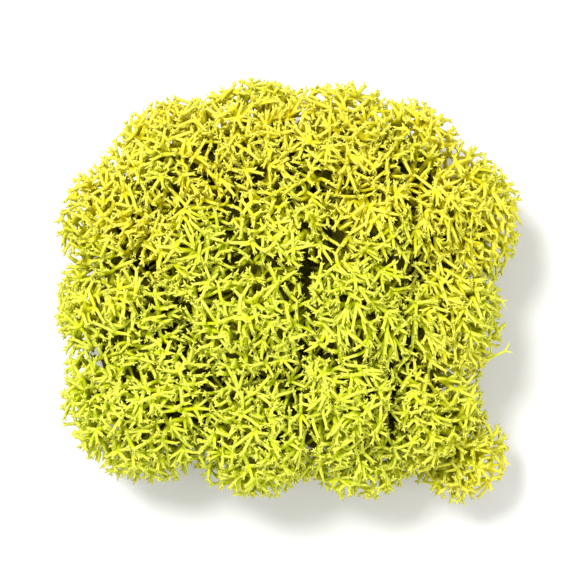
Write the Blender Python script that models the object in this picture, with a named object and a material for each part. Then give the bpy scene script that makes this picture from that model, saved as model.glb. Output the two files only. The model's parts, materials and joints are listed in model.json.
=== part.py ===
"""A clump of preserved reindeer moss, in metres, +Z up.

The clump is a cushion of domed heads that stand side by side and lean outwards from a narrower
base. Each head is one object: an inner mass on a flat foot, with branches that stand out of it and
fork three ways, out to three-pronged stars spread over every free side. The origin is the middle
of the flat foot of the middle head.
"""

import itertools
import math
import random

import bmesh
import bpy
from mathutils import Vector
from mathutils.bvhtree import BVHTree

MM = 0.001
SEED = 7

# Each head: centre x and y, height of its top, radius of its dome, height of its foot (millimetres).
HEADS = (
    (-14.5, 28.0, 31.0, 15.0, 0.0),
    (0.0, 32.0, 32.0, 14.5, 0.0),
    (16.5, 31.0, 33.0, 14.5, 0.0),
    (29.0, 30.5, 29.0, 12.0, 4.0),
    (37.0, 19.0, 31.0, 15.0, 0.0),
    (6.5, 17.0, 36.0, 15.0, 0.0),
    (-25.5, 18.0, 29.5, 13.5, 0.0),
    (-13.0, 12.5, 34.0, 14.0, 0.0),
    (-25.5, 1.5, 31.0, 14.0, 0.0),
    (-21.5, -15.5, 32.0, 17.0, 0.0),
    (0.0, 0.0, 37.0, 16.0, 0.0),
    (19.0, 1.5, 38.0, 15.5, 0.0),
    (34.5, 0.0, 31.5, 14.0, 0.0),
    (0.0, -20.0, 32.5, 15.5, 0.0),
    (17.0, -16.0, 35.0, 14.0, 0.0),
    (31.5, -18.0, 29.5, 13.0, 0.0),
    (41.0, -28.0, 20.0, 9.0, 4.0),
    (20.5, -24.5, 27.0, 11.5, 4.0),
    (22.5, 17.5, 36.5, 14.0, 0.0),
)

# The heads lean: the clump is narrowest on the ground and reaches full width at this height.
BASE_SHARE = 0.62
FULL_WIDTH_HEIGHT = 18.0 * MM
FOOT_RADIUS = 4.0 * MM
SWELL_POWER = 0.8

# The inner mass of a head, which every branch stands out of.
CORE_SHARE = 0.48
CORE_SIDES = 9
CORE_FLANK_SHARES = (0.0, 0.45)
CORE_SHOULDER_SHARE = 0.15
CORE_SHOULDER_DROP = 1.5 * MM
CORE_CROWN_ANGLE = 52.0
CORE_ROUGHNESS = 0.6 * MM
CORE_WALL_GAP = 0.42 * MM
LEAST_TURN = 0.1

# The stars: the three-pronged ends of the branches, spread over the free outside of every head.
CROWN_SPACING = 2.9 * MM
SIDE_SPACING = 3.5 * MM
CROWN_SHARE = 0.25
STAR_TRIES = 4000
STAR_DEPTH = 1.9 * MM
STAR_WALL_GAP = 0.6 * MM
STAR_LEAST_HEIGHT = 4.0 * MM
LOW_STARS_HEIGHT = 15.0 * MM
LOW_STARS_FACING = 0.4
PRONG_LENGTH = 2.1 * MM
PRONG_SPREAD = 1.0

# The branches: three-sided, and forking three ways from the inner mass out to the stars.
FORKS = 3
STEM_RADIUS = 0.55 * MM
ANKLE_SHARE = 1.3
WIDEST_ANKLE_SHARE = 0.5
ANKLE_RISE = 0.8 * MM
CLEARANCE = 0.22 * MM
LOWEST_POINT = 0.5 * MM
OPENING = 1.05
LEAST_RUN = 0.35
TWISTS = (0.0, -15.0, 15.0, -30.0, 30.0)
PIT_RISE = 0.4
SPREAD_RANGE = (0.8, 1.2)
LENGTH_RANGE = (0.8, 1.1)
GROWTH_TRIES = 80
LOST_AT_ONCE = 2

# Colours, linear, from golden to green heads.
GOLDEN = Vector((0.62, 0.52, 0.035))
GREEN = Vector((0.50, 0.58, 0.050))
ROUGHNESS = 0.8


class Head:
    """One head of the clump, as a stack of level slices."""

    def __init__(self, number, row):
        x, y, top, radius, foot = (value * MM for value in row)
        self.name = "head_%02d" % number
        self.place = Vector((x, y))
        self.radius = radius
        self.top = top
        self.foot = foot
        self.middle = top - radius
        self.core_radius = CORE_SHARE * radius
        self.walls = []

    def find_walls(self, heads):
        """The straight walls between this head and its neighbours, in the full-width plan."""
        for other in heads:
            if other is self:
                continue
            across = other.place - self.place
            distance = across.length
            if distance > self.radius + other.radius:
                continue
            reach = (distance ** 2 + self.radius ** 2 - other.radius ** 2) / (2.0 * distance)
            self.walls.append((across / distance, reach))

    def corner_angles(self):
        """The angles, from the axis, of the corners between this head's walls."""
        angles = []
        for one, two in itertools.combinations(self.walls, 2):
            turn = one[0].cross(two[0])
            if abs(turn) < LEAST_TURN:
                continue
            x = (one[1] * two[0].y - two[1] * one[0].y) / turn
            y = (two[1] * one[0].x - one[1] * two[0].x) / turn
            corner = Vector((x, y))
            inside = all(normal.dot(corner) < reach + CORE_WALL_GAP for normal, reach in self.walls)
            if inside and corner.length < self.radius:
                angles.append(math.atan2(y, x) % math.tau)
        return angles

    def axis(self, height):
        """The middle of the slice at a height."""
        return self.place * lean(height)

    def wall_distance(self, height, way):
        """How far a level ray from the axis goes before it meets a neighbour's wall."""
        nearest = math.inf
        for normal, reach in self.walls:
            facing = normal.dot(way)
            if facing > 0.0:
                nearest = min(nearest, reach * lean(height) / facing)
        return nearest

    def round_radius(self, height, depth):
        """The radius of the slice at a height, for a surface this deep under the outside."""
        if height >= self.middle:
            full = self.radius - depth
            rise = height - self.middle
            return math.sqrt(max(full ** 2 - rise ** 2, 0.0))
        share = max((height - self.foot) / (self.middle - self.foot), 0.0)
        swell = math.sin(0.5 * math.pi * share) ** SWELL_POWER
        return FOOT_RADIUS + (self.radius - depth - FOOT_RADIUS) * swell

    def keep_clear(self, point, gap):
        """Bends a branch's point back into this head's own cell, and up off the ground."""
        height = max(point.z, LOWEST_POINT + gap)
        centre = self.axis(height)
        across = Vector((point.x, point.y)) - centre
        distance = across.length
        if distance > 0.0:
            free = max(self.wall_distance(height, across / distance) - gap, 0.0)
            across *= min(free / distance, 1.0)
        return Vector((centre.x + across.x, centre.y + across.y, height))


def lean(height):
    """The share of its full width that the clump has at a height."""
    share = min(max(height / FULL_WIDTH_HEIGHT, 0.0), 1.0)
    return BASE_SHARE + (1.0 - BASE_SHARE) * math.sin(0.5 * math.pi * share)


def level_way(angle):
    return Vector((math.cos(angle), math.sin(angle)))


def turn_between(start, end):
    """The shorter turn from one angle to another."""
    return (end - start + math.pi) % math.tau - math.pi


def star_places(heads, dice):
    """Even places for the stars, on the free outside of every head."""
    middle = sum((head.place for head in heads), Vector((0.0, 0.0))) / len(heads)
    grid = {}
    places = {head: [] for head in heads}
    for _ in range(STAR_TRIES):
        for head in heads:
            least = head.foot + STAR_LEAST_HEIGHT
            height = least + dice.random() * (head.top - STAR_DEPTH - least)
            way = level_way(math.tau * dice.random())
            distance = head.round_radius(height, STAR_DEPTH)
            if distance > head.wall_distance(height, way) - STAR_WALL_GAP:
                continue
            if height < LOW_STARS_HEIGHT and way.dot((head.place - middle).normalized()) < LOW_STARS_FACING:
                continue
            centre = head.axis(height)
            star = Vector((centre.x + way.x * distance, centre.y + way.y * distance, height))
            on_crown = height > head.middle + CROWN_SHARE * head.radius
            spacing = CROWN_SPACING if on_crown else SIDE_SPACING
            if is_free(grid, star, spacing):
                places[head].append(star)
    return places


def is_free(grid, star, spacing):
    """True where no star stands closer than the spacing. The star then joins the grid."""
    cell = tuple(int(value // SIDE_SPACING) for value in star)
    for steps in itertools.product((-1, 0, 1), repeat=3):
        near = tuple(value + step for value, step in zip(cell, steps))
        if any((star - other).length < spacing for other in grid.get(near, ())):
            return False
    grid.setdefault(cell, []).append(star)
    return True


def mean(points):
    return sum(points, Vector((0.0, 0.0, 0.0))) / len(points)


def share_out(stars, centre, ways):
    """Splits stars between three ways, each to the way that it lies nearest to."""
    groups = [[] for _ in ways]
    for star in stars:
        away = star - centre
        groups[max(range(FORKS), key=lambda fork: away.dot(ways[fork]))].append(star)
    return groups


class Plant:
    """One head as one closed skin. Each face knows the stars that it bears."""

    def __init__(self, head, stars, dice):
        self.head = head
        self.dice = dice
        self.shape = bmesh.new()
        self.bearers = []
        faces = self.core_faces()
        corners = [tuple(corner.co for corner in face) for face in faces]
        points = [point for face in corners for point in face]
        triangles = [(3 * face, 3 * face + 1, 3 * face + 2) for face in range(len(faces))]
        tree = BVHTree.FromPolygons(points, triangles)
        borne = {}
        for star in stars:
            borne.setdefault(tree.find_nearest(star)[2], []).append(star)
        for number, face in enumerate(faces):
            if number in borne:
                self.grow_ankle(face, borne[number])
            else:
                self.add_face(face, [])

    def core_faces(self):
        """The triangles of the inner mass, on rings round the axis that are staggered by half a side."""
        head = self.head
        rings = []
        for share in CORE_FLANK_SHARES:
            height = head.foot + share * (head.middle - head.foot)
            distance = head.round_radius(height, head.radius - head.core_radius)
            rings.append(self.core_ring(len(rings), (height, distance)))
        rings.append(self.core_ring(len(rings), None))
        angle = math.radians(CORE_CROWN_ANGLE)
        crown = (head.middle + head.core_radius * math.sin(angle), head.core_radius * math.cos(angle))
        rings.append(self.core_ring(len(rings), crown))
        self.add_face(list(reversed(rings[0])), [])
        faces = []
        for number, (low, high) in enumerate(zip(rings, rings[1:])):
            for side in range(CORE_SIDES):
                after = (side + 1) % CORE_SIDES
                if number % 2:
                    faces.append((low[side], low[after], high[after]))
                    faces.append((low[side], high[after], high[side]))
                else:
                    faces.append((low[side], low[after], high[side]))
                    faces.append((low[after], high[after], high[side]))
        top = head.middle + head.core_radius
        centre = head.axis(top)
        apex = self.shape.verts.new((centre.x, centre.y, top))
        for side in range(CORE_SIDES):
            faces.append((rings[-1][side], rings[-1][(side + 1) % CORE_SIDES], apex))
        return faces

    def shoulder(self, way):
        """Height and distance of the inner mass's shoulder: it fills the cell up to the valleys."""
        head = self.head
        core = head.core_radius
        lowest = CORE_SHOULDER_SHARE * core
        valley = 0.0
        wall = head.wall_distance(head.middle, way)
        if wall < head.radius:
            highest = core * math.sin(math.radians(CORE_CROWN_ANGLE)) - CORE_SHOULDER_DROP
            valley = min(math.sqrt(head.radius ** 2 - wall ** 2) - (head.radius - core), highest)
        rise = max(valley, lowest)
        distance = wall if valley > lowest else math.sqrt(core ** 2 - rise ** 2)
        return head.middle + rise, distance

    def core_ring(self, number, level):
        """A ring of the inner mass: at a given height and distance, or else along its shoulder."""
        ring = []
        rough = CORE_ROUGHNESS if number else 0.0
        angles = [math.tau * (side + 0.5 * (number % 2)) / CORE_SIDES for side in range(CORE_SIDES)]
        for corner in self.head.corner_angles():
            near = min(range(CORE_SIDES), key=lambda side: abs(turn_between(angles[side], corner)))
            angles[near] += turn_between(angles[near], corner)
        for angle in angles:
            way = level_way(angle)
            height, distance = level or self.shoulder(way)
            height += rough * self.dice.uniform(-1.0, 1.0)
            free = self.head.wall_distance(height, way) - CORE_WALL_GAP
            distance = min(distance + rough * self.dice.uniform(-1.0, 1.0), free)
            spot = self.head.axis(height) + way * distance
            ring.append(self.shape.verts.new((spot.x, spot.y, height)))
        return ring

    def grow_ankle(self, face, stars):
        """Narrows one triangle of the inner mass to the foot of a stem."""
        corners = [corner.co for corner in face]
        middle = mean(corners)
        normal = (corners[1] - corners[0]).cross(corners[2] - corners[0]).normalized()
        centre = middle + normal * ANKLE_RISE
        reach = min((corner - middle).length for corner in corners)
        radius = min(ANKLE_SHARE * stem_radius(len(stars)), WIDEST_ANKLE_SHARE * reach)
        ways = self.ring_ways(normal, corners[0] - middle, 0.0)
        ring = self.add_ring(centre, ways, radius)
        self.add_sides(face, ring, stars)
        self.grow_stem(ring, stars)

    def add_face(self, corners, stars):
        self.shape.faces.new(corners)
        self.bearers.append(stars)

    def add_sides(self, low, high, stars):
        """The six triangles between two rings of three."""
        for corner in range(FORKS):
            after = (corner + 1) % FORKS
            self.add_face((low[corner], low[after], high[after]), stars)
            self.add_face((low[corner], high[after], high[corner]), stars)

    def ring_ways(self, way, first, twist):
        """The ways from a ring's centre to its three corners. The ring is square to its own way."""
        side = (first - way * first.dot(way)).normalized()
        other = way.cross(side)
        angles = [math.radians(twist + 360.0 / FORKS * corner) for corner in range(FORKS)]
        return [side * math.cos(angle) + other * math.sin(angle) for angle in angles]

    def best_ring(self, centre, way, first, stars):
        """Turns a ring so that its three forks share the stars out evenly."""
        def largest_share(twist):
            ways = [-corner for corner in self.ring_ways(way, first, twist)]
            return max(len(group) for group in share_out(stars, centre, ways))
        return self.ring_ways(way, first, min(TWISTS, key=largest_share))

    def add_ring(self, centre, ways, radius):
        return [self.shape.verts.new(centre + way * radius) for way in ways]

    def fork(self, ring, aim, stars):
        """Divides the stem that ends in this ring three ways, towards the stars that it bears."""
        corners = [corner.co.copy() for corner in ring]
        centre = mean(corners)
        pit = self.shape.verts.new(centre + aim * PIT_RISE * (corners[0] - centre).length)
        outwards = []
        for corner in range(FORKS):
            outwards.append(((corners[corner] + corners[(corner + 1) % FORKS]) / 2.0 - centre).normalized())
        groups = share_out(stars, centre, outwards) if len(stars) > 1 else [[] for _ in outwards]
        for corner, group in enumerate(groups):
            base = (ring[corner], ring[(corner + 1) % FORKS], pit)
            if group:
                self.grow_stem(base, group)
            else:
                spread = PRONG_SPREAD * self.dice.uniform(*SPREAD_RANGE)
                self.add_prong(base, aim + outwards[corner] * spread, stars)

    def add_prong(self, base, way, stars):
        middle = mean([spot.co for spot in base])
        end = middle + way.normalized() * PRONG_LENGTH * self.dice.uniform(*LENGTH_RANGE)
        point = self.shape.verts.new(self.head.keep_clear(end, CLEARANCE))
        for side in range(FORKS):
            self.add_face((base[side], base[(side + 1) % FORKS], point), stars)

    def grow_stem(self, base, stars):
        """A stem towards the middle of its stars, which stops short of them where it forks."""
        middle = mean([spot.co for spot in base])
        target = mean(stars)
        spread = max((star - target).length for star in stars)
        reach = (target - middle).length
        run = max(reach - OPENING * spread, LEAST_RUN * reach)
        radius = stem_radius(len(stars))
        end = self.head.keep_clear(middle.lerp(target, run / reach), CLEARANCE + radius)
        way = (end - middle).normalized()
        ways = self.best_ring(end, way, base[0].co - middle, stars)
        ring = self.add_ring(end, ways, radius)
        self.add_sides(base, ring, stars)
        self.fork(ring, way, stars)

    def crossing_stars(self):
        """Stars whose branches run through others."""
        self.shape.faces.ensure_lookup_table()
        tree = BVHTree.FromBMesh(self.shape)
        lost = []
        for one, two in tree.overlap(tree):
            if one < two and not set(self.shape.faces[one].verts) & set(self.shape.faces[two].verts):
                bearers = [stars for stars in (self.bearers[one], self.bearers[two]) if stars]
                lost.append(min(bearers, key=len)[0])
        return lost


def stem_radius(stars):
    """Stems thicken so that each is as strong as all those that it bears."""
    return STEM_RADIUS * math.sqrt(stars)


def grow_head(head, stars, number):
    """Grows a head, and leaves out each star whose branches would run through others."""
    for _ in range(GROWTH_TRIES):
        plant = Plant(head, stars, random.Random(number))
        lost = plant.crossing_stars()
        if not lost:
            mesh = bpy.data.meshes.new(head.name)
            plant.shape.to_mesh(mesh)
            plant.shape.free()
            return mesh
        plant.shape.free()
        stars = [star for star in stars if not any(star is other for other in lost[:LOST_AT_ONCE])]
    raise RuntimeError("no clear growth for " + head.name)


def head_material(head, share):
    """A matt yellow-green, a little greener towards the lower left of the clump."""
    material = bpy.data.materials.new(head.name)
    material.use_nodes = True
    shader = material.node_tree.nodes["Principled BSDF"]
    colour = GOLDEN.lerp(GREEN, share)
    shader.inputs["Base Color"].default_value = (colour.x, colour.y, colour.z, 1.0)
    shader.inputs["Roughness"].default_value = ROUGHNESS
    shader.inputs["Metallic"].default_value = 0.0
    return material


def main():
    for old in list(bpy.data.objects):
        bpy.data.objects.remove(old)
    dice = random.Random(SEED)
    heads = [Head(number, row) for number, row in enumerate(HEADS, start=1)]
    for head in heads:
        head.find_walls(heads)
    places = star_places(heads, dice)
    highest = max(head.place.y for head in heads)
    lowest = min(head.place.y for head in heads)
    for number, head in enumerate(heads):
        plant = bpy.data.objects.new(head.name, grow_head(head, places[head], number))
        bpy.context.scene.collection.objects.link(plant)
        share = (highest - head.place.y) / (highest - lowest)
        plant.data.materials.append(head_material(head, share))


main()
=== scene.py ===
"""The looks of a clump of preserved reindeer moss, branch by branch, inside the CAD heads.

Metres, +Z up. Every head of the clump is a node of the frame. Here each one is replaced by a
plant that forks from its foot out to its dome, in layers, and ends in star-shaped tips. A tangle
painted dark, as painted shade, fills the inside of each head, so that nobody looks through it.
"""

import json
import math

import bpy
import numpy as np
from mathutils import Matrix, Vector

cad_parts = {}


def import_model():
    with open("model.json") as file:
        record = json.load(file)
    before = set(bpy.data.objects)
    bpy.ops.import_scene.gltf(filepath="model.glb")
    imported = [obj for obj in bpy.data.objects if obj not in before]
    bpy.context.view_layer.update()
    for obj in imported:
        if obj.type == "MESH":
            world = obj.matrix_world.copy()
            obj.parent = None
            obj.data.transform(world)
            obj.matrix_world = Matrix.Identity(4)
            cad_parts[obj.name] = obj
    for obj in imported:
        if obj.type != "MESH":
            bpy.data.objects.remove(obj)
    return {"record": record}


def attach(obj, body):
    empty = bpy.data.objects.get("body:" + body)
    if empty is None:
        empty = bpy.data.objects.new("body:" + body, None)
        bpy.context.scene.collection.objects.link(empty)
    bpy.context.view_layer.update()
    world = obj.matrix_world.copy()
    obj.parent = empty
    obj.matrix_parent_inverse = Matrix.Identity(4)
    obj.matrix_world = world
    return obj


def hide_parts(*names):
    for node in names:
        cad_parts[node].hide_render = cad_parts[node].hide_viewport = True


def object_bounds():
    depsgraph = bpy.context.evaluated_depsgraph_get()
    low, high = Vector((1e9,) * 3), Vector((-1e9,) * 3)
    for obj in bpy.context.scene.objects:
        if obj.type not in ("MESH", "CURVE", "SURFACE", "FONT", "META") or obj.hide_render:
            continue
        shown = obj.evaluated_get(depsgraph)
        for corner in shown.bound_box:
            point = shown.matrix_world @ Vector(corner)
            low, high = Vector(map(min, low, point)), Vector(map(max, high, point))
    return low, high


MM = 0.001
SEED = 11

# Keeps divisions from meeting a zero.
TINY = 1e-12

# Each head: centre x and y, height of its top, radius of its dome, height of its foot (millimetres),
# and how green it is, from 0 for golden to 1 for green.
HEADS = (
    (-14.5, 28.0, 31.0, 15.0, 0.0, 0.10),
    (0.0, 32.0, 32.0, 14.5, 0.0, 0.05),
    (16.5, 31.0, 33.0, 14.5, 0.0, 0.00),
    (29.0, 30.5, 29.0, 12.0, 4.0, 0.10),
    (37.0, 19.0, 31.0, 15.0, 0.0, 0.15),
    (6.5, 17.0, 36.0, 15.0, 0.0, 0.50),
    (-25.5, 18.0, 29.5, 13.5, 0.0, 0.20),
    (-13.0, 12.5, 34.0, 14.0, 0.0, 0.50),
    (-25.5, 1.5, 31.0, 14.0, 0.0, 0.45),
    (-21.5, -15.5, 32.0, 17.0, 0.0, 0.95),
    (0.0, 0.0, 37.0, 16.0, 0.0, 0.80),
    (19.0, 1.5, 38.0, 15.5, 0.0, 0.65),
    (34.5, 0.0, 31.5, 14.0, 0.0, 0.40),
    (0.0, -20.0, 32.5, 15.5, 0.0, 1.00),
    (17.0, -16.0, 35.0, 14.0, 0.0, 0.80),
    (31.5, -18.0, 29.5, 13.0, 0.0, 0.50),
    (41.0, -28.0, 20.0, 9.0, 4.0, 0.30),
    (20.5, -24.5, 27.0, 11.5, 4.0, 0.60),
    (22.5, 17.5, 36.5, 14.0, 0.0, 0.35),
)

# Dark gaps in the crown: middle x and y, half widths along x and y, and depth (millimetres).
HOLLOWS = (
    (-19.3, 26.1, 1.5, 1.1, 9.0),
    (2.3, 40.9, 1.6, 1.2, 9.0),
    (16.0, 41.0, 3.0, 0.9, 8.0),
    (28.7, 29.4, 1.4, 1.0, 8.0),
    (20.8, 24.6, 1.2, 1.0, 8.0),
    (9.7, 8.2, 1.2, 5.4, 11.0),
    (-5.1, 16.1, 1.2, 1.2, 8.0),
    (0.2, 9.2, 1.6, 1.1, 9.0),
    (-6.6, 4.3, 3.0, 1.2, 9.0),
    (-16.2, 8.7, 1.3, 1.3, 9.0),
    (16.0, 15.4, 1.1, 1.3, 8.0),
    (29.8, 9.2, 1.1, 1.6, 8.0),
    (31.9, -2.9, 1.0, 1.5, 8.0),
    (12.4, -6.8, 1.4, 1.0, 8.0),
    (19.7, -7.0, 1.3, 1.1, 8.0),
    (6.5, -16.1, 1.2, 1.4, 9.0),
    (-3.0, -13.0, 1.3, 1.0, 8.0),
    (-24.0, -10.8, 1.5, 1.4, 9.0),
    (-26.0, -4.0, 1.6, 1.0, 8.0),
    (10.2, -24.0, 1.4, 1.3, 9.0),
    (26.1, -19.8, 1.3, 1.5, 9.0),
)
HOLLOW_LOWEST = 12.0 * MM

# The clump has this share of its width on the ground, and its full width from this height up.
BASE_SHARE = 0.62
FULL_WIDTH_HEIGHT = 18.0 * MM

# The outside of a head: how its flank swells from the foot, slopes and faces down, how heads
# blend into each other, and how far one may reach over the walls to its neighbours.
FOOT_RADIUS = 4.0 * MM
SWELL_POWER = 0.8
FLANK_SLOPE = 0.6
DROOP = 0.8
BLEND = 0.7 * MM
LARGEST_POWER = 40.0
LEAST_TOTAL = 1e-15
OVERLAP = 0.8 * MM
SETTLE_STEPS = 3

# The lowest middle line of a branch and the lowest corner of its skin.
LOWEST = 0.45 * MM
GROUND = 0.02 * MM

# Each head is a crowd of smaller lobes with creases between them.
LOBE_DARTS = 400
LOBE_SPACING = 6.5 * MM
LOBE_REACH = 2.0 * LOBE_SPACING
LOBE_EDGE = 2.6 * MM
LOBE_HEIGHT = 3.0 * MM
LOBE_MIDDLE = 0.62

# The layers in which the forks stand, from the tips inwards: depth, its play, spacing,
# lowest height (millimetres), and the share of places that end there instead of forking.
LAYERS = (
    (0.6, 0.35, 1.55, 2.5, 1.0),
    (2.0, 0.35, 1.90, 2.5, 0.50),
    (3.8, 0.50, 2.60, 3.0, 0.30),
    (6.0, 0.70, 3.80, 3.5, 0.15),
    (9.0, 1.00, 6.00, 4.0, 0.0),
)

# Places for them are thrown at random: DARTS for each time that the square of the spacing goes into
# the square of the head's radius. Those that land off the layer's depth or too close are dropped.
DARTS = 84.0
OFF_DEPTH = 0.8 * MM

# The spacing changes from patch to patch, from the crown to the sides, and where it is hidden.
THIN_PATCH = 8.0 * MM
THINNING = 0.22
BROAD_PATCHES = 0.75
FINE_PATCHES = 0.35
CROWN_SPACING = 0.82
SIDE_SPACING = 1.22
SIDE_FALL = 0.8
HIDDEN_THINNING = 1.6
HIDDEN_DEPTH = 3.0 * MM

# The stems above each foot: the heights of their rings, their number in the first ring and in the
# others, how far out they stand, and their play. STEM_REACH and STEM_RISE (millimetres) give the
# first ring's value and what each further ring adds. STEM_FILL is a range.
STEM_RINGS = (0.45 * MM, 3.5 * MM, 7.5 * MM, 12.0 * MM)
FOOT_STEMS = 7
STEMS = 5
STEM_REACH = (0.85, 0.25)
STEM_TURN = 0.6
STEM_FILL = (0.15, 1.0)
STEM_RISE = (0.3, 0.5)

# Each place looks for its fork this far further in (in spacings of its layer), with some stray, and
# passes over forks that carry many already.
INWARD = 0.6
STRAY = 0.75
FREE_CROWD = 3.0
CROWD_COST = 0.5 * MM

# How the branches bend from fork to fork.
STEP = 0.8 * MM
LEAST_STEPS = 2
AHEAD = 0.8
SIDE_KEEP = 0.45
SIDE_AHEAD = 0.8
TIP_LIFT = -0.05
WOBBLE = 0.05 * MM

# On the right of the crown they lean over: where that starts and ends and how gradually
# (millimetres), which way they lean, and how far (millimetres).
COMB_LEFT = 8.0
COMB_RAMP_X = 14.0
COMB_FRONT = -16.0
COMB_BACK = 30.0
COMB_RAMP_Y = 10.0
COMB_WAY = (0.35, -0.94, 0.0)
COMB_LENGTH = 1.6

# The tangle inside each head, painted dark as painted shade. It widens to the walls where that stays
# deep enough.
CORE_DEPTH = 8.0 * MM
CORE_FOOT = 5.0 * MM
CORE_SIDES = 24
CORE_RINGS = 5
CORE_RISES = (0.25, 0.5, 0.75, 0.93)
CORE_ROUGHNESS = 0.25 * MM
CORE_OVERLAP = 0.7 * MM
FILL_DEPTH = 6.5 * MM
FILL_LOWEST = 9.0 * MM
LEAST_FACING = 1e-6

# The old strands that creep over that tangle. CREEPER_SHADE is a range of made-up depths, in DEPTH_FADE,
# that paints them in painted shade, olive to dark.
CREEPERS = 75
CREEPER_POINTS = 6
CREEPER_RADIUS = (0.30 * MM, 0.55 * MM)
CREEPER_STRIDE = (0.75, 0.45)
CREEPER_TURN = 0.55
CREEPER_SHADE = (0.75, 1.5)

# Loose strands on the right of the crown: the head, then the points of the strand (millimetres).
LOOSE = (
    (13, ((40.5, 5.5, 23.5), (43.5, 4.9, 25.0), (46.0, 4.2, 25.2), (48.2, 3.0, 24.2))),
    (13, ((40.5, -1.0, 21.5), (43.2, -2.2, 23.0), (45.2, -3.8, 22.8), (46.3, -5.6, 21.8))),
    (16, ((39.0, -12.5, 19.0), (42.5, -10.6, 21.0), (46.0, -8.2, 21.2), (49.2, -7.0, 20.2))),
    (16, ((39.0, -12.0, 17.5), (42.0, -13.6, 19.2), (43.4, -16.0, 19.4), (43.6, -18.6, 18.4))),
)
LOOSE_STEPS = 12
LOOSE_RADIUS = (0.42 * MM, 0.26 * MM)
LOOSE_FORK = 1.6 * MM
LOOSE_FORK_PLAY = (0.8, 1.2)
LOOSE_FORK_TURNS = (-0.7, 0.6)
LOOSE_FORK_STEPS = 4
LOOSE_TIP = 0.12 * MM

# Skin of the branches. A branch is as thick as the number of tips that it carries asks for.
TIP_RADIUS = 0.34 * MM
PIPE_POWER = 4.2
THICKEST = 0.95 * MM
RADIUS_PLAY = (0.92, 1.08)
FORK_SHARE = 0.9
END_SHARE = 0.85
ROOT_POINT = 0.3
END_POINT = 0.8
SMOOTHINGS = 1
BRANCH_SIDES = 6
THIN_SIDES = 4
THIN = 0.42 * MM
MOSTLY_X = 0.7

# The prongs of the stars at the tips. Deep under the outside a star has the least of them.
PRONGS = (2, 4)
PRONG_SIDES = 3
PRONG_LENGTH = (0.75 * MM, 1.35 * MM)
PRONG_SPREAD = (0.6, 1.3)
PRONG_TURN = 0.25
PRONG_BEND = 0.6
PRONG_SHARES = (0.85, 0.65)
STAR_DEPTH = 5.0 * MM

# The tone of each corner, for its colour: how far its tip is, in TIP_FADE, how deep it lies, in
# DEPTH_FADE, and how green it is. Each branch also has a number of its own, which nothing uses yet.
# The distance to the tip sets the painted highlight of the tips. The depth sets the painted highlight
# near the outside and the painted shade deeper in.
TIP_FADE = 6.0 * MM
DEPTH_FADE = 12.0 * MM
# How far from a tip the root, middle and point of each prong count, so that the prongs take the full
# painted highlight of the tips.
PRONG_TONES = (0.0, -0.12, -0.25)
LOOSE_TONE = 0.5
OLD_TONE = 1.0
# How deep the tangle counts, for its colour: deep enough for the full dark painted shade.
CORE_SHADE = 2.0
GREEN_FOCUS = 2.0

# Colours, linear, and the sizes of their patches.
GOLDEN = (0.78, 0.66, 0.012)
GREEN = (0.66, 0.74, 0.014)
# The next two are a painted highlight, in golden and in green: the branches just under the outside,
# where the light falls, are painted paler.
HIGHLIGHT_GOLDEN = (0.88, 0.80, 0.090)
HIGHLIGHT_GREEN = (0.80, 0.86, 0.110)
# A painted highlight on the tips of the branches and on the prongs of the stars.
TIP_HIGHLIGHT = (0.90, 0.88, 0.140)
# Painted shade: branches deeper under the outside are painted darker olive.
OLIVE_SHADE = (0.22, 0.20, 0.005)
# Painted shade: the darkest colour, for the tangle and the deepest branches.
TANGLE_SHADE = (0.100, 0.090, 0.005)
DULL = (0.70, 0.68, 0.50)
BROWN = (0.16, 0.10, 0.030)
PATCH_SIZE = 14.0 * MM
DULL_SIZE = 7.0 * MM
MOTTLE_SIZE = 1.3 * MM
FUZZ_SIZE = 0.25 * MM

# Where one colour passes into the next: the two ends of the range, and what they turn into. The two
# weights say how much the noise shifts the range below them.
GREEN_NOISE = 1.1
GREEN_RANGE = (0.35, 1.25, 0.0, 1.0)
SHADE_NOISE = -0.12
# Painted highlight: the depths over which the outside of the crown is painted paler.
HIGHLIGHT_RANGE = (0.14, -0.06, 0.0, 0.85)
# Painted highlight: how near its tip a branch is painted paler.
TIP_HIGHLIGHT_RANGE = (0.25, -0.15, 0.0, 0.6)
# Painted shade: the depths over which the branches turn to the darker olive.
OLIVE_SHADE_RANGE = (0.14, 0.60, 0.0, 0.90)
# Painted shade: the depths over which the deepest branches turn to the dark colour of the tangle.
TANGLE_SHADE_RANGE = (0.8, 1.9, 0.0, 1.0)
DULL_RANGE = (0.35, 0.65, 0.0, 0.5)
BROWN_RANGE = (11.0 * MM, 1.0 * MM, 0.0, 0.85)

# How matt the moss is, and the fuzz on it.
ROUGHNESS_RANGE = (0.3, 0.75, 0.62, 0.82)
SPECULAR = 0.1
FUZZ_STRENGTH = 0.5
FUZZ_DEPTH = 0.06 * MM
PATCH_DETAIL = 2.0
MOTTLE_DETAIL = 3.0

# Studio. Each light has its place from the middle of the clump, its size and its power.
FLOOR_HALF = 1.5
FLOOR_COLOUR = (0.86, 0.86, 0.85, 1.0)
FLOOR_ROUGHNESS = 0.7
WHITE = (1.0, 1.0, 1.0, 1.0)
WORLD_STRENGTH = 0.50
LIGHTS = (
    ("key", (-0.22, 0.25, 0.55), 0.22, 4.5),
    ("fill", (0.35, -0.20, 0.40), 0.40, 1.5),
)
AIM_HEIGHT = 0.6
LENS = 120.0
SENSOR = 36.0
FRAME_SHARE = 0.80


def lean(height):
    """The share of its full width that the clump has at each height."""
    share = np.clip(height / FULL_WIDTH_HEIGHT, 0.0, 1.0)
    return BASE_SHARE + (1.0 - BASE_SHARE) * np.sin(0.5 * math.pi * share)


def flank_slope(share):
    """How squarely the flank faces outwards, at each share of the way up to the middle."""
    return FLANK_SLOPE + (1.0 - FLANK_SLOPE) * share


def unit(vectors):
    return vectors / np.maximum(np.linalg.norm(vectors, axis=-1, keepdims=True), TINY)


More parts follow.
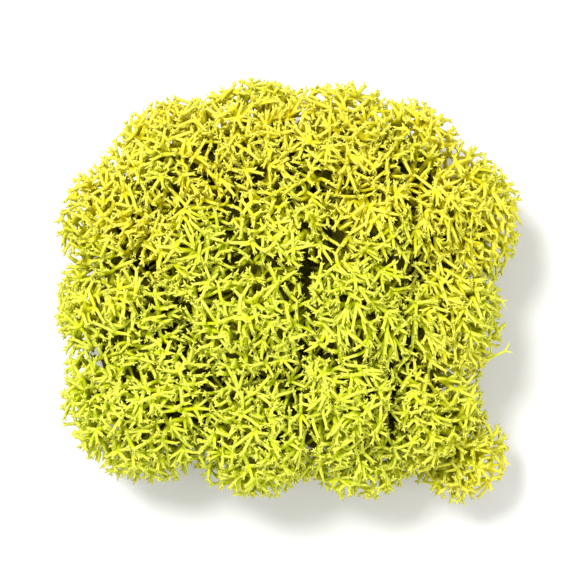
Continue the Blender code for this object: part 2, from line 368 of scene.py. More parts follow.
class Head:
    """One head's outside, as in the frame. Every point array is count by 3."""

    def __init__(self, number, row):
        x, y, top, radius, foot = (value * MM for value in row[:5])
        self.node = "head_%02d" % number
        self.green = row[5]
        self.place = np.array((x, y))
        self.radius = radius
        self.foot = foot
        self.middle = top - radius
        self.centre = np.array((x, y, self.middle))
        self.walls = []
        self.near = [self]
        self.lobes = None

    def find_walls(self, heads):
        for other in heads:
            if other is self:
                continue
            across = other.place - self.place
            distance = math.hypot(*across)
            if distance > self.radius + other.radius:
                continue
            reach = (distance ** 2 + self.radius ** 2 - other.radius ** 2) / (2.0 * distance)
            self.walls.append((across / distance, reach))
            self.near.append(other)

    def axis(self, heights):
        share = lean(heights)
        return np.stack([self.place[0] * share, self.place[1] * share, heights], axis=-1)

    def in_cell(self, points):
        """True where a point is on this head's side of the walls, or just over them."""
        share = lean(points[:, 2])
        flat = points[:, :2] - self.place * share[:, None]
        inside = np.ones(len(points), bool)
        for way, reach in self.walls:
            inside &= flat @ way < reach * share + OVERLAP
        return inside

    def waist(self, heights):
        """How far up to the middle each height is, from 0 to 1, and the radius there."""
        share = np.clip((heights - self.foot) / (self.middle - self.foot), 0.0, 1.0)
        swell = np.sin(0.5 * math.pi * share) ** SWELL_POWER
        return share, FOOT_RADIUS + (self.radius - FOOT_RADIUS) * swell

    def depth(self, points):
        """How deep each point lies under this head's outside."""
        dome = self.radius - np.linalg.norm(points - self.centre, axis=1)
        share, radius = self.waist(points[:, 2])
        across = np.linalg.norm(points - self.axis(points[:, 2]), axis=1)
        flank = (radius - across) * flank_slope(share)
        flank = np.where(points[:, 2] < self.foot, flank - (self.foot - points[:, 2]), flank)
        return np.where(points[:, 2] >= self.middle, dome, flank)

    def out(self, points):
        """The way out of the head from each point."""
        share = self.waist(points[:, 2])[0]
        flank = unit(points - self.axis(points[:, 2]))
        flank[:, 2] = -DROOP * (1.0 - share)
        dome = points - self.centre
        return unit(np.where((points[:, 2] >= self.middle)[:, None], dome, flank))

    def scatter(self, count, depth, rng):
        """Points at random at one depth under the head's outside."""
        angle = rng.uniform(0.0, math.tau, count)
        around = np.stack([np.cos(angle), np.sin(angle)], axis=1)
        rise = rng.random(count)
        dome = np.concatenate([around * np.sqrt(1.0 - rise ** 2)[:, None], rise[:, None]], axis=1)
        dome = self.centre + dome * (self.radius - depth)[:, None]
        heights = self.foot + (self.middle - self.foot) * rng.random(count)
        share, radius = self.waist(heights)
        flank = self.axis(heights)
        flank[:, :2] += around * np.maximum(radius - depth / flank_slope(share), 0.0)[:, None]
        return np.where((rng.random(count) < 0.5)[:, None], dome, flank)


class Clump:
    """All the heads together, with the lobes and hollows in their outside."""

    def __init__(self, heads, rng):
        self.heads = heads
        self.rng = rng
        self.middle = np.mean([head.place for head in heads], axis=0)
        spots = []
        outside = np.zeros(LOBE_DARTS)
        for head in heads:
            points = self.settle(head, head.scatter(LOBE_DARTS, outside, rng), outside)
            spots.extend(points[head.in_cell(points)])
        kept = apart(spots, np.full(len(spots), LOBE_SPACING))
        lobes = np.array(spots)[kept]
        for head in heads:
            away = np.linalg.norm(lobes - head.centre, axis=1)
            head.lobes = lobes[away < head.radius + LOBE_REACH]

    def depth(self, points, head):
        """How deep each point near a head lies under the outside of the whole clump."""
        total = np.zeros(len(points))
        for other in head.near:
            power = np.clip(other.depth(points) / BLEND, -LARGEST_POWER, LARGEST_POWER)
            total += np.exp(power)
        depth = BLEND * np.log(total + LEAST_TOTAL)
        if head.lobes is None:
            return depth
        near = np.linalg.norm(points[:, None] - head.lobes[None], axis=2)
        near = np.partition(near, 1, axis=1)
        share = np.clip((near[:, 1] - near[:, 0]) / LOBE_EDGE, 0.0, 1.0)
        return depth + LOBE_HEIGHT * (np.sin(0.5 * math.pi * share) - LOBE_MIDDLE)

    def settle(self, head, points, depth):
        """Moves points in or out until they lie at a depth."""
        for _ in range(SETTLE_STEPS):
            points = points + head.out(points) * (self.depth(points, head) - depth)[:, None]
        return points

    def cover(self, points, head):
        """How far each point stands under the spread of the other heads."""
        share = lean(points[:, 2])
        cover = np.full(len(points), -FULL_WIDTH_HEIGHT)
        for other in head.near[1:]:
            away = np.linalg.norm(points[:, :2] - other.place * share[:, None], axis=1)
            below = other.radius * share - away
            cover = np.maximum(cover, np.where(points[:, 2] < other.middle, below, cover))
        return cover

    def in_hollow(self, points, depth):
        """True where a point lies in one of the dark gaps of the crown."""
        inside = np.zeros(len(points), bool)
        for row in HOLLOWS:
            x, y, half_x, half_y, deep = (value * MM for value in row)
            away = ((points[:, 0] - x) / half_x) ** 2 + ((points[:, 1] - y) / half_y) ** 2
            inside |= (away < 1.0) & (depth < deep) & (points[:, 2] > HOLLOW_LOWEST)
        return inside

    def layer(self, row):
        """The places of one layer's forks and tips, and the number of each one's head."""
        deep, play, spacing, lowest = (value * MM for value in row[:4])
        spots, owners, rises, covers = [], [], [], []
        for owner, head in enumerate(self.heads):
            count = int(DARTS * head.radius ** 2 / spacing ** 2)
            depth = deep + play * self.rng.uniform(-1.0, 1.0, count)
            points = self.settle(head, head.scatter(count, depth, self.rng), depth)
            found = self.depth(points, head)
            keep = head.in_cell(points) & (points[:, 2] > lowest)
            keep &= (np.abs(found - depth) < OFF_DEPTH) & ~self.in_hollow(points, found)
            spots.extend(points[keep])
            owners.extend([owner] * int(keep.sum()))
            rises.extend(head.out(points[keep])[:, 2])
            covers.extend(self.cover(points[keep], head))
        order = self.rng.permutation(len(spots))
        spots, owners, rises, covers = (
            np.array(values)[order] for values in (spots, owners, rises, covers))
        wide = spacing * (1.0 + THINNING * patches(spots / THIN_PATCH))
        to_side = np.clip((1.0 - rises) / SIDE_FALL, 0.0, 1.0)
        wide *= CROWN_SPACING + (SIDE_SPACING - CROWN_SPACING) * to_side
        wide *= 1.0 + HIDDEN_THINNING * np.clip(covers / HIDDEN_DEPTH, 0.0, 1.0)
        kept = apart(spots, wide)
        return spots[kept], owners[kept]


def patches(points):
    """A smooth field of patches, from about -1 to 1. Its waves only have to be unlike each other."""
    x, y, z = points.T
    broad = np.sin(1.9 * x + 1.3 * np.sin(1.1 * y + 0.4))
    broad = broad * np.sin(2.1 * y + 1.1 * np.sin(1.3 * z + 1.7 * x))
    fine = np.sin(3.7 * x + 2.9 * y + 2.3 * z + 1.1 * np.sin(2.3 * y))
    return BROAD_PATCHES * broad + FINE_PATCHES * fine


def apart(spots, spacing):
    """The numbers of the spots that stand clear of those kept before them."""
    cell = float(np.max(spacing))
    grid = {}
    kept = []
    keys = np.floor(np.asarray(spots) / cell).astype(int)
    for number, (x, y, z) in enumerate(spots):
        i, j, k = keys[number]
        limit = spacing[number] ** 2
        near = (spot
                for a in (i - 1, i, i + 1)
                for b in (j - 1, j, j + 1)
                for c in (k - 1, k, k + 1)
                for spot in grid.get((a, b, c), ()))
        if all((u - x) ** 2 + (v - y) ** 2 + (w - z) ** 2 >= limit for u, v, w in near):
            grid.setdefault((i, j, k), []).append((x, y, z))
            kept.append(number)
    return kept


def comb(points):
    """The way and length by which branches lean over, on the right of the crown."""
    x, y = points[:, 0] / MM, points[:, 1] / MM
    share = np.clip((x - COMB_LEFT) / COMB_RAMP_X, 0.0, 1.0)
    share = share * np.clip((COMB_BACK - y) / COMB_RAMP_Y, 0.0, 1.0)
    share *= np.clip((y - COMB_FRONT) / COMB_RAMP_Y, 0.0, 1.0)
    return share[:, None] * np.array(COMB_WAY) * COMB_LENGTH * MM


class Forks:
    """The forks and tips of all heads, each joined to a fork further in."""

    def __init__(self, clump):
        self.places, self.owners, self.parents, self.fertile, self.outs = [], [], [], [], []
        self.rng = clump.rng
        self.clump = clump
        self.add_stems()
        for row in reversed(LAYERS):
            self.add_layer(row)

    def add(self, place, owner, parent, fertile, out):
        self.places.append(place)
        self.owners.append(owner)
        self.parents.append(parent)
        self.fertile.append(fertile)
        self.outs.append(out)

    def add_stems(self):
        """A few stems rise from each foot."""
        for owner, head in enumerate(self.clump.heads):
            below = []
            for ring, height in enumerate(STEM_RINGS):
                height += head.foot
                if height > head.middle:
                    break
                now = []
                stems = STEMS if below else FOOT_STEMS
                reach = FOOT_RADIUS * (STEM_REACH[0] + STEM_REACH[1] * ring)
                rise = (STEM_RISE[0] + STEM_RISE[1] * ring) * MM
                for stem in range(stems):
                    angle = math.tau * (stem + STEM_TURN * self.rng.random()) / stems
                    away = reach * math.sqrt(self.rng.uniform(*STEM_FILL))
                    place = head.axis(np.array(height + rise * self.rng.random()))
                    place = place + np.array((math.cos(angle), math.sin(angle), 0.0)) * away
                    parent = -1
                    if below:
                        parent = min(below, key=lambda other: np.linalg.norm(self.places[other] - place))
                    now.append(len(self.places))
                    self.add(place, owner, parent, True, np.array((0.0, 0.0, 1.0)))
                below = now

    def add_layer(self, row):
        """Joins each place of a layer to a fork of its own head that stands further in."""
        spots, owners = self.clump.layer(row)
        spacing, barren = row[2], row[4]
        shifts = comb(spots)
        strays = self.rng.normal(0.0, STRAY * spacing * MM, spots.shape)
        outs = np.empty_like(spots)
        for owner, head in enumerate(self.clump.heads):
            mine = owners == owner
            outs[mine] = head.out(spots[mine])
        ready = np.array(self.places)
        of_head = np.array(self.owners)
        open_fork = np.array(self.fertile)
        joined = []
        for owner in range(len(self.clump.heads)):
            pool = np.nonzero((of_head == owner) & open_fork)[0]
            crowd = np.zeros(len(pool))
            for number in np.nonzero(owners == owner)[0]:
                target = spots[number] - outs[number] * spacing * INWARD * MM - shifts[number]
                target = target + strays[number] - outs[number] * (strays[number] @ outs[number])
                away = np.linalg.norm(ready[pool] - target, axis=1)
                cost = away + CROWD_COST * np.maximum(crowd - FREE_CROWD, 0.0)
                best = int(np.argmin(cost))
                crowd[best] += 1
                joined.append((number, owner, int(pool[best])))
        for number, owner, parent in joined:
            fertile = bool(self.rng.random() >= barren)
            self.add(spots[number], owner, parent, fertile, outs[number])


def family(parents):
    """Each point's children, how many tips it carries, and the child that carries the most."""
    children = [[] for _ in parents]
    for number, parent in enumerate(parents):
        if parent >= 0:
            children[parent].append(number)
    tips = [1] * len(children)
    heirs = [-1] * len(children)
    for number in range(len(children) - 1, -1, -1):
        if children[number]:
            tips[number] = sum(tips[child] for child in children[number])
            heirs[number] = max(children[number], key=lambda child: tips[child])
    return children, tips, heirs


def branch_points(forks):
    """Bends a branch from each fork to the ones it carries. Returns places, parents and owners."""
    heirs = family(forks.parents)[2]
    ways = []
    for number, parent in enumerate(forks.parents):
        back = forks.outs[number] if parent < 0 else forks.places[number] - forks.places[parent]
        way = back / max(np.linalg.norm(back), TINY)
        if heirs[number] >= 0:
            ahead = forks.places[heirs[number]] - forks.places[number]
            way = way + AHEAD * ahead / max(np.linalg.norm(ahead), TINY)
        else:
            way = way + TIP_LIFT * forks.outs[number]
        ways.append(way / max(np.linalg.norm(way), TINY))
    places, parents, owners = [], [], []
    at = [0] * len(heirs)
    for number, parent in enumerate(forks.parents):
        end = forks.places[number]
        if parent < 0:
            at[number] = len(places)
            places.append(end)
            parents.append(-1)
            owners.append(forks.owners[number])
            continue
        start = forks.places[parent]
        length = np.linalg.norm(end - start)
        leave = ways[parent]
        if number != heirs[parent]:
            leave = SIDE_KEEP * leave + SIDE_AHEAD * ((end - start) / max(length, TINY))
        leave = leave / np.linalg.norm(leave) * length
        arrive = ways[number] * length
        steps = max(LEAST_STEPS, round(length / STEP))
        last = at[parent]
        for step in range(1, steps + 1):
            t = step / steps
            spot = ((2 * t ** 3 - 3 * t ** 2 + 1) * start + (t ** 3 - 2 * t ** 2 + t) * leave
                    + (3 * t ** 2 - 2 * t ** 3) * end + (t ** 3 - t ** 2) * arrive)
            if step < steps:
                spot = spot + forks.rng.normal(0.0, WOBBLE, 3)
            spot[2] = max(spot[2], LOWEST)
            places.append(spot)
            parents.append(last)
            owners.append(forks.owners[number])
            last = len(places) - 1
        at[number] = last
    return np.array(places), np.array(parents), np.array(owners)


class Tree:
    """The grown branches as arrays, with what each point needs for its skin."""

    def __init__(self, clump):
        self.places, self.parents, self.owners = branch_points(Forks(clump))
        self.depths = np.empty(len(self.places))
        for owner, head in enumerate(clump.heads):
            mine = self.owners == owner
            self.depths[mine] = clump.depth(self.places[mine], head)
        children, tips, heirs = family(self.parents)
        self.heir = np.array(heirs)
        self.to_tip = np.zeros(len(heirs))
        for number in range(len(heirs) - 1, -1, -1):
            if children[number]:
                self.to_tip[number] = STEP + min(self.to_tip[child] for child in children[number])
        tips = np.array(tips, float)
        self.radii = np.minimum(TIP_RADIUS * tips ** (1.0 / PIPE_POWER), THICKEST)
        self.smooth()
        self.green = self.greenness(clump.heads)

    def smooth(self):
        """Rounds the kinks out of the branches, and evens out their thickness."""
        inner = np.nonzero((self.parents >= 0) & (self.heir >= 0))[0]
        rooted = np.nonzero(self.parents >= 0)[0]
        for _ in range(SMOOTHINGS):
            middle = 0.5 * (self.places[self.parents[inner]] + self.places[self.heir[inner]])
            self.places[inner] = 0.5 * self.places[inner] + 0.5 * middle
            self.radii[rooted] = 0.5 * self.radii[rooted] + 0.5 * self.radii[self.parents[rooted]]

    def greenness(self, heads):
        """Blends the heads' tints from one to the next."""
        total = np.zeros(len(self.places))
        weights = np.zeros(len(self.places))
        for head in heads:
            away = np.hypot(self.places[:, 0] - head.place[0], self.places[:, 1] - head.place[1])
            weight = np.exp(-((away / head.radius) ** 2) * GREEN_FOCUS)
            total += weight * head.green
            weights += weight
        return total / np.maximum(weights, TINY)

    def chains(self, owner):
        """One head's branches as runs of point numbers. A side branch starts at its fork."""
        runs = []
        for number in np.nonzero(self.owners == owner)[0]:
            parent = self.parents[number]
            if parent >= 0 and self.heir[parent] == number:
                continue
            run = [number] if parent < 0 else [parent, number]
            while self.heir[run[-1]] >= 0:
                run.append(self.heir[run[-1]])
            runs.append(run)
        return runs


class Skin:
    """Collects corners, faces and the tone of each corner, and makes one mesh of them."""

    def __init__(self):
        self.corners, self.faces, self.tones = [], [], []
        self.count = 0

    def add(self, corners, faces, tones):
        self.corners.append(corners.reshape(-1, 3))
        self.faces.append(faces.reshape(-1, 3) + self.count)
        self.tones.append(tones.reshape(-1, 4))
        self.count += len(self.corners[-1])

    def mesh(self, name):
        corners = np.concatenate(self.corners)
        corners[:, 2] = np.maximum(corners[:, 2], GROUND)
        faces = np.concatenate(self.faces)
        tones = np.concatenate(self.tones)
        mesh = bpy.data.meshes.new(name)
        mesh.vertices.add(len(corners))
        mesh.vertices.foreach_set("co", corners.astype(np.float32).ravel())
        mesh.loops.add(faces.size)
        mesh.loops.foreach_set("vertex_index", faces.astype(np.int32).ravel())
        mesh.polygons.add(len(faces))
        mesh.polygons.foreach_set("loop_start", np.arange(0, faces.size, 3, dtype=np.int32))
        mesh.update(calc_edges=True)
        tone = mesh.attributes.new("tone", "FLOAT_COLOR", "POINT")
        tone.data.foreach_set("color", tones.astype(np.float32).ravel())
        mesh.shade_smooth()
        mesh.validate()
        return mesh


def any_across(ways):
    """A unit vector square to each way."""
    pick = np.where(np.abs(ways[:, :1]) < MOSTLY_X, [[1.0, 0.0, 0.0]], [[0.0, 1.0, 0.0]])
    return unit(np.cross(ways, pick))


def tube_faces(rings, sides):
    """The triangles of one tube of rings, with a point at each end."""
    faces = []
    first = rings * sides
    last = first + 1
    for ring in range(rings - 1):
        for side in range(sides):
            a = ring * sides + side
            b = ring * sides + (side + 1) % sides
            faces.append((a, b, b + sides))
            faces.append((a, b + sides, a + sides))
    for side in range(sides):
        after = (side + 1) % sides
        faces.append((first, after, side))
        faces.append((last, (rings - 1) * sides + side, (rings - 1) * sides + after))
    return np.array(faces)


def add_tubes(skin, places, radii, tones, sides):
    """Skins many runs of the same length at once. places is runs by points by 3."""
    runs, points = radii.shape
    ways = np.empty_like(places)
    ways[:, 1:-1] = places[:, 2:] - places[:, :-2]
    ways[:, 0] = places[:, 1] - places[:, 0]
    ways[:, -1] = places[:, -1] - places[:, -2]
    ways = unit(ways)
    across = any_across(ways[:, 0])
    angles = math.tau * np.arange(sides) / sides
    corners = np.empty((runs, points * sides + 2, 3))
    for point in range(points):
        way = ways[:, point]
        across = unit(across - way * np.sum(across * way, axis=1, keepdims=True))
        other = np.cross(way, across)
        for side, angle in enumerate(angles):
            out = across * math.cos(angle) + other * math.sin(angle)
            corners[:, point * sides + side] = places[:, point] + out * radii[:, point, None]
    corners[:, -2] = places[:, 0] - ways[:, 0] * radii[:, 0, None] * ROOT_POINT
    corners[:, -1] = places[:, -1] + ways[:, -1] * radii[:, -1, None] * END_POINT
    faces = tube_faces(points, sides)
    faces = faces[None] + (np.arange(runs) * (points * sides + 2))[:, None, None]
    spread = np.concatenate([np.repeat(tones, sides, axis=1), tones[:, :1], tones[:, -1:]], axis=1)
    skin.add(corners, faces, spread)


def add_branches(skin, tree, owner, rng):
    """The branches of one head."""
    alike = {}
    for run in tree.chains(owner):
        sides = BRANCH_SIDES if tree.radii[run].max() > THIN else THIN_SIDES
        alike.setdefault((len(run), sides), []).append(run)
    for (length, sides), runs in sorted(alike.items()):
        if length < 2:
            continue
        runs = np.array(runs)
        places = tree.places[runs]
        radii = tree.radii[runs] * rng.uniform(*RADIUS_PLAY, runs.shape)
        side_run = tree.parents[runs[:, 0]] >= 0
        side_run &= tree.heir[runs[:, 0]] != runs[:, 1]
        radii[side_run, 0] = radii[side_run, 1] * FORK_SHARE
        radii[:, -1] *= END_SHARE
        tones = np.stack([
            tree.to_tip[runs] / TIP_FADE,
            tree.depths[runs] / DEPTH_FADE,
            tree.green[runs],
            np.repeat(rng.uniform(0.0, 1.0, (len(runs), 1)), length, axis=1),
        ], axis=-1)
        add_tubes(skin, places, radii, tones, sides)


def add_stars(skin, tree, owner, rng):
    """Each end of a head's branches opens into a star of short pointed prongs."""
    ends = np.nonzero((tree.owners == owner) & (tree.heir < 0) & (tree.parents >= 0))[0]
    way = unit(tree.places[ends] - tree.places[tree.parents[ends]])
    across = any_across(way)
    other = np.cross(way, across)
    turn = rng.uniform(0.0, math.tau, len(ends))
    prongs = rng.integers(PRONGS[0], PRONGS[1] + 1, len(ends))
    prongs = np.where(tree.depths[ends] < STAR_DEPTH, prongs, PRONGS[0])
    count = 2 * PRONG_SIDES + 2
    for prong in range(PRONGS[1]):
        has = prong < prongs
        angle = (turn + math.tau * prong / prongs)[has] + rng.normal(0.0, PRONG_TURN, has.sum())
        out = across[has] * np.cos(angle)[:, None] + other[has] * np.sin(angle)[:, None]
        spread = rng.uniform(*PRONG_SPREAD, has.sum())[:, None]
        length = rng.uniform(*PRONG_LENGTH, has.sum())[:, None]
        root = tree.places[ends[has]]
        first = unit(way[has] + out * spread)
        second = unit(way[has] + out * spread * PRONG_BEND)
        middle = root + first * length * 0.5
        tip = middle + second * length * 0.5
        radius = tree.radii[ends[has]][:, None]
        side = any_across(first)
        up = np.cross(first, side)
        corners = np.empty((len(root), count, 3))
        for corner in range(PRONG_SIDES):
            turned = math.tau * corner / PRONG_SIDES
            edge = side * math.cos(turned) + up * math.sin(turned)
            corners[:, corner] = root + edge * radius * PRONG_SHARES[0]
            corners[:, PRONG_SIDES + corner] = middle + edge * radius * PRONG_SHARES[1]
        corners[:, -2] = root - first * radius * ROOT_POINT
        corners[:, -1] = tip
        faces = tube_faces(2, PRONG_SIDES)[None] + (np.arange(len(root)) * count)[:, None, None]
        at_root, at_middle, at_tip = PRONG_TONES
        tones = np.empty((len(root), count, 4))
        tones[:, :, 0] = [at_root] * PRONG_SIDES + [at_middle] * PRONG_SIDES + [at_root, at_tip]
        tones[:, :, 1] = (tree.depths[ends[has]] / DEPTH_FADE)[:, None]
        tones[:, :, 2] = tree.green[ends[has]][:, None]
        tones[:, :, 3] = rng.uniform(0.0, 1.0, (len(root), 1))
        skin.add(corners, faces, tones)


def fill_cell(clump, head, points):
    """Widens a head's tangle to its walls wherever that stays deep under the clump's outside."""
    share = lean(points[:, 2])
    middle = head.place * share[:, None]
    way = unit(points[:, :2] - middle)
    wall = np.full(len(points), np.inf)
    for normal, reach in head.walls:
        facing = np.maximum(way @ normal, LEAST_FACING)
        wall = np.minimum(wall, reach * share / facing)
    wall = np.minimum(wall, head.radius * share)
    rise = np.sqrt(np.maximum(head.radius ** 2 - (wall / share) ** 2, 0.0))
    spread = points.copy()
    spread[:, :2] = middle + way * (wall + CORE_OVERLAP)[:, None]
    beyond = spread.copy()
    beyond[:, :2] += unit(spread[:, :2] - clump.middle) * FILL_DEPTH
    deep = (points[:, 2] < head.middle + rise - FILL_DEPTH) & (clump.depth(beyond, head) > 0.0)
    return np.where((deep & (points[:, 2] > FILL_LOWEST))[:, None], spread, points)


def add_creepers(skin, grid, head, rng):
    """Old strands that creep over the tangle, whose corners are a grid of rings by sides. A depth given
    to each paints it in painted shade, olive to dark.
    """
    ring = rng.uniform(0.0, len(grid) - 1.0, CREEPERS)
    side = rng.uniform(0.0, CORE_SIDES, CREEPERS)
    heading = rng.uniform(0.0, math.tau, CREEPERS)
    places = []
    for _ in range(CREEPER_POINTS):
        low = np.minimum(ring.astype(int), len(grid) - 2)
        left = np.floor(side).astype(int) % CORE_SIDES
        right = (left + 1) % CORE_SIDES
        up = (ring - low)[:, None]
        over = (side - np.floor(side))[:, None]
        below = grid[low, left] * (1.0 - over) + grid[low, right] * over
        above = grid[low + 1, left] * (1.0 - over) + grid[low + 1, right] * over
        places.append(below * (1.0 - up) + above * up)
        heading += rng.normal(0.0, CREEPER_TURN, CREEPERS)
        side += np.cos(heading) * CREEPER_STRIDE[0]
        ring = np.clip(ring + np.sin(heading) * CREEPER_STRIDE[1], 0.0, len(grid) - 1.0)
    places = np.stack(places, axis=1)
    radii = rng.uniform(*CREEPER_RADIUS, (CREEPERS, 1)).repeat(CREEPER_POINTS, axis=1)
    flat = places.reshape(-1, 3)
    places = (flat + head.out(flat) * radii.reshape(-1, 1)).reshape(places.shape)
    tones = np.empty((CREEPERS, CREEPER_POINTS, 4))
    tones[:, :, 0] = OLD_TONE
    # A made-up depth for each strand, which paints it in olive to dark painted shade.
    tones[:, :, 1] = rng.uniform(*CREEPER_SHADE, (CREEPERS, 1))
    tones[:, :, 2] = head.green
    tones[:, :, 3] = rng.uniform(0.0, 1.0, (CREEPERS, 1))
    add_tubes(skin, places, radii, tones, THIN_SIDES)


def add_loose(skin, head, rng):
    """The long strands that stand out on the right of the clump, each forked at its end."""
    for number, points in LOOSE:
        if head.node != "head_%02d" % number:
            continue
        knots = np.array(points) * MM
        along = np.linspace(0.0, 1.0, LOOSE_STEPS)[:, None]
        back = 1.0 - along
        run = (knots[0] * back ** 3 + 3.0 * knots[1] * back ** 2 * along
               + 3.0 * knots[2] * back * along ** 2 + knots[3] * along ** 3)
        way = unit(run[-1] - run[-2])
        aside = np.cross(way, (0.0, 0.0, 1.0))
        runs = [(run, np.linspace(*LOOSE_RADIUS, LOOSE_STEPS))]
        for turn in LOOSE_FORK_TURNS:
            length = LOOSE_FORK * rng.uniform(*LOOSE_FORK_PLAY)
            steps = np.linspace(0.0, length, LOOSE_FORK_STEPS)[:, None]
            thin = np.linspace(LOOSE_RADIUS[1], LOOSE_TIP, LOOSE_FORK_STEPS)
            runs.append((run[-1] + unit(way + aside * turn) * steps, thin))
        for places, radii in runs:
            tones = np.zeros((1, len(places), 4))
            tones[0, :, 0] = LOOSE_TONE * radii / LOOSE_RADIUS[0]
            tones[0, :, 2] = head.green
            add_tubes(skin, places[None], radii[None], tones, BRANCH_SIDES)


def add_core(skin, clump, head, rng):
    """The tangle inside a head, painted dark as painted shade, which the branches stand out of."""
    angles = math.tau * np.arange(CORE_SIDES) / CORE_SIDES
    around = np.stack([np.cos(angles), np.sin(angles)], axis=1)
    rings = []
    for share in np.linspace(0.0, 1.0, CORE_RINGS):
        height = head.foot + CORE_FOOT + (head.middle - head.foot - CORE_FOOT) * share
        ring = np.repeat(head.axis(np.array([height])), CORE_SIDES, axis=0)
        ring[:, :2] += around * head.waist(np.array([height]))[1]
        rings.append(ring)
    for rise in CORE_RISES:
        ring = np.repeat(head.centre[None], CORE_SIDES, axis=0)
        ring[:, :2] += around * head.radius * math.sqrt(1.0 - rise ** 2)
        ring[:, 2] += head.radius * rise
        rings.append(ring)
    points = np.concatenate([*rings, head.centre[None] + (0.0, 0.0, head.radius)])
    points = clump.settle(head, points, CORE_DEPTH)
    points += rng.normal(0.0, CORE_ROUGHNESS, points.shape)
    share = lean(points[:, 2])
    middle = head.place * share[:, None]
    flat = points[:, :2] - middle
    for way, reach in head.walls:
        along = flat @ way
        limit = np.maximum(reach * share, 0.0) + CORE_OVERLAP
        flat *= np.where(along > limit, limit / np.maximum(along, TINY), 1.0)[:, None]
    points[:, :2] = middle + flat
    points[:-1] = fill_cell(clump, head, points[:-1])
    points = np.concatenate([points, head.axis(np.array([head.foot + CORE_FOOT]))])
    count = len(rings)
    top, bottom = count * CORE_SIDES, count * CORE_SIDES + 1
    ends = points[[bottom, top]][:, None].repeat(CORE_SIDES, axis=1)
    grid = np.concatenate([ends[:1], points[:top].reshape(count, CORE_SIDES, 3), ends[1:]])
    add_creepers(skin, grid, head, rng)
    faces = []
    for side in range(CORE_SIDES):
        after = (side + 1) % CORE_SIDES
        for ring in range(count - 1):
            low, high = ring * CORE_SIDES, (ring + 1) * CORE_SIDES
            faces.append((low + side, low + after, high + after))
            faces.append((low + side, high + after, high + side))
        faces.append(((count - 1) * CORE_SIDES + side, (count - 1) * CORE_SIDES + after, top))
        faces.append((after, side, bottom))
    # The tangle takes the full dark painted shade of the deep.
    tones = np.tile((OLD_TONE, CORE_SHADE, head.green, 0.0), (len(points), 1))
    skin.add(points, np.array(faces), tones)


def moss_material(name):
    """Matt, cottony yellow-green, with a painted highlight on the outside and at the tips, painted shade
    in olive and dark olive-brown deeper inside, and brown at the foot.
    """
    material = bpy.data.materials.new(name)
    material.use_nodes = True
    nodes, links = material.node_tree.nodes, material.node_tree.links
    shader = nodes["Principled BSDF"]
    tone = nodes.new("ShaderNodeAttribute")
    tone.attribute_name = "tone"
    parts = nodes.new("ShaderNodeSeparateXYZ")
    links.new(tone.outputs["Vector"], parts.inputs[0])
    place = nodes.new("ShaderNodeTexCoord").outputs["Object"]

    def noise_at(size, detail):
        texture = nodes.new("ShaderNodeTexNoise")
        texture.inputs["Scale"].default_value = 1.0 / size
        texture.inputs["Detail"].default_value = detail
        links.new(place, texture.inputs["Vector"])
        return texture.outputs["Fac"]

    def spread(value, low, high, to_low, to_high):
        node = nodes.new("ShaderNodeMapRange")
        node.interpolation_type = "SMOOTHSTEP"
        links.new(value, node.inputs["Value"])
        node.inputs["From Min"].default_value = low
        node.inputs["From Max"].default_value = high
        node.inputs["To Min"].default_value = to_low
        node.inputs["To Max"].default_value = to_high
        return node.outputs["Result"]

    def mix(factor, one, two, blend="MIX"):
        node = nodes.new("ShaderNodeMix")
        node.data_type = "RGBA"
        node.blend_type = blend
        if isinstance(factor, float):
            node.inputs["Factor"].default_value = factor
        else:
            links.new(factor, node.inputs["Factor"])
        for socket, colour in ((6, one), (7, two)):
            if isinstance(colour, tuple):
                node.inputs[socket].default_value = (*colour, 1.0)
            else:
                links.new(colour, node.inputs[socket])
        return node.outputs[2]

    def add(one, two, weight):
        node = nodes.new("ShaderNodeMath")
        node.operation = "MULTIPLY_ADD"
        links.new(two, node.inputs[0])
        node.inputs[1].default_value = weight
        links.new(one, node.inputs[2])
        return node.outputs[0]

    to_tip, depth, green = parts.outputs
    greener = spread(add(green, noise_at(PATCH_SIZE, PATCH_DETAIL), GREEN_NOISE), *GREEN_RANGE)
    colour = mix(greener, GOLDEN, GREEN)
    shade = noise_at(MOTTLE_SIZE, MOTTLE_DETAIL)
    # Painted highlight: the outside of the crown is painted paler, a little unevenly where the mottle
    # shifts it.
    painted_highlight = mix(greener, HIGHLIGHT_GOLDEN, HIGHLIGHT_GREEN)
    colour = mix(spread(add(depth, shade, SHADE_NOISE), *HIGHLIGHT_RANGE), colour, painted_highlight)
    # Painted highlight on the tips.
    colour = mix(spread(to_tip, *TIP_HIGHLIGHT_RANGE), colour, TIP_HIGHLIGHT)
    # Painted shade: darker olive deeper in.
    colour = mix(spread(depth, *OLIVE_SHADE_RANGE), colour, OLIVE_SHADE)
    # Painted shade: dark, deepest in.
    colour = mix(spread(depth, *TANGLE_SHADE_RANGE), colour, TANGLE_SHADE)
    dull = spread(noise_at(DULL_SIZE, PATCH_DETAIL), *DULL_RANGE)
    colour = mix(dull, colour, mix(1.0, colour, DULL, "MULTIPLY"))
    height = nodes.new("ShaderNodeSeparateXYZ")
    links.new(place, height.inputs[0])
    colour = mix(spread(height.outputs[2], *BROWN_RANGE), colour, BROWN)
    links.new(colour, shader.inputs["Base Color"])
    links.new(spread(shade, *ROUGHNESS_RANGE), shader.inputs["Roughness"])
    shader.inputs["Specular IOR Level"].default_value = SPECULAR
    bump = nodes.new("ShaderNodeBump")
    bump.inputs["Strength"].default_value = FUZZ_STRENGTH
    bump.inputs["Distance"].default_value = FUZZ_DEPTH
    links.new(noise_at(FUZZ_SIZE, PATCH_DETAIL), bump.inputs["Height"])
    links.new(bump.outputs["Normal"], shader.inputs["Normal"])
    return material


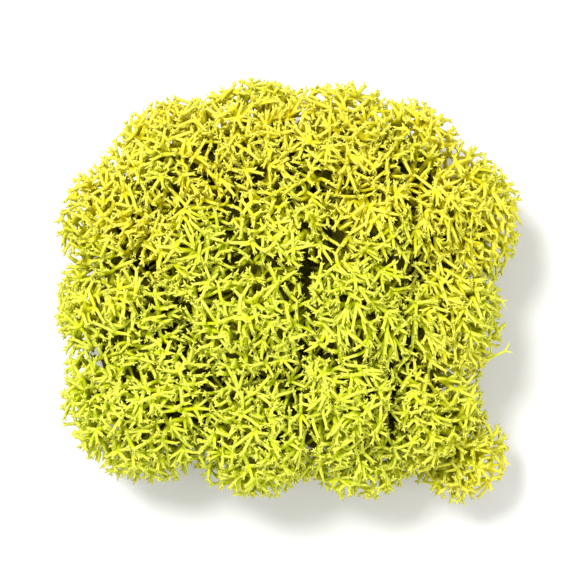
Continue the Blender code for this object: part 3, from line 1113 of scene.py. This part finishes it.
def make_floor():
    """A plain pale floor under the clump."""
    mesh = bpy.data.meshes.new("floor")
    corners = [(x * FLOOR_HALF, y * FLOOR_HALF, 0.0) for x, y in ((-1, -1), (1, -1), (1, 1), (-1, 1))]
    mesh.from_pydata(corners, [], [(0, 1, 2, 3)])
    floor = bpy.data.objects.new("floor", mesh)
    bpy.context.scene.collection.objects.link(floor)
    material = bpy.data.materials.new("floor")
    material.use_nodes = True
    shader = material.node_tree.nodes["Principled BSDF"]
    shader.inputs["Base Color"].default_value = FLOOR_COLOUR
    shader.inputs["Roughness"].default_value = FLOOR_ROUGHNESS
    mesh.materials.append(material)


def add_light(name, aim, away, size, power):
    """A white disk of light that faces what it is aimed at."""
    light = bpy.data.lights.new(name, "AREA")
    light.shape = "DISK"
    light.size = size
    light.energy = power
    lamp = bpy.data.objects.new(name, light)
    bpy.context.scene.collection.objects.link(lamp)
    lamp.location = aim + Vector(away)
    lamp.rotation_euler = Vector(away).to_track_quat("Z", "Y").to_euler()


def light_and_camera(low, high):
    """Soft studio light from above, and a camera that looks straight down on the crown."""
    scene = bpy.context.scene
    middle = Vector(((low[0] + high[0]) / 2, (low[1] + high[1]) / 2, AIM_HEIGHT * high[2]))
    world = bpy.data.worlds.new("studio")
    world.use_nodes = True
    background = world.node_tree.nodes["Background"]
    background.inputs["Color"].default_value = WHITE
    background.inputs["Strength"].default_value = WORLD_STRENGTH
    scene.world = world
    for name, away, size, power in LIGHTS:
        add_light(name, middle, away, size, power)
    camera = bpy.data.objects.new("camera", bpy.data.cameras.new("camera"))
    scene.collection.objects.link(camera)
    camera.data.lens = LENS
    camera.data.sensor_width = SENSOR
    distance = (high[0] - low[0]) / FRAME_SHARE * LENS / SENSOR
    camera.location = middle + Vector((0.0, 0.0, distance))
    scene.camera = camera
    scene.view_settings.view_transform = "Standard"


def main():
    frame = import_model()
    cad_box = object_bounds()
    slots = {part["node"]: part["material_slot"] for part in frame["record"]["subparts"]}
    heads = [Head(number, row) for number, row in enumerate(HEADS, start=1)]
    for head in heads:
        head.find_walls(heads)
    rng = np.random.default_rng(SEED)
    clump = Clump(heads, rng)
    tree = Tree(clump)
    materials = {slot: moss_material(slot) for slot in sorted(set(slots.values()))}
    for owner, head in enumerate(heads):
        skin = Skin()
        add_branches(skin, tree, owner, rng)
        add_stars(skin, tree, owner, rng)
        add_core(skin, clump, head, rng)
        add_loose(skin, head, rng)
        name = "moss_" + head.node
        piece = bpy.data.objects.new(name, skin.mesh(name))
        bpy.context.scene.collection.objects.link(piece)
        piece.data.materials.append(materials[slots[head.node]])
        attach(piece, "root")
        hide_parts(head.node)
    make_floor()
    low, high = cad_box
    light_and_camera(low, high)


main()
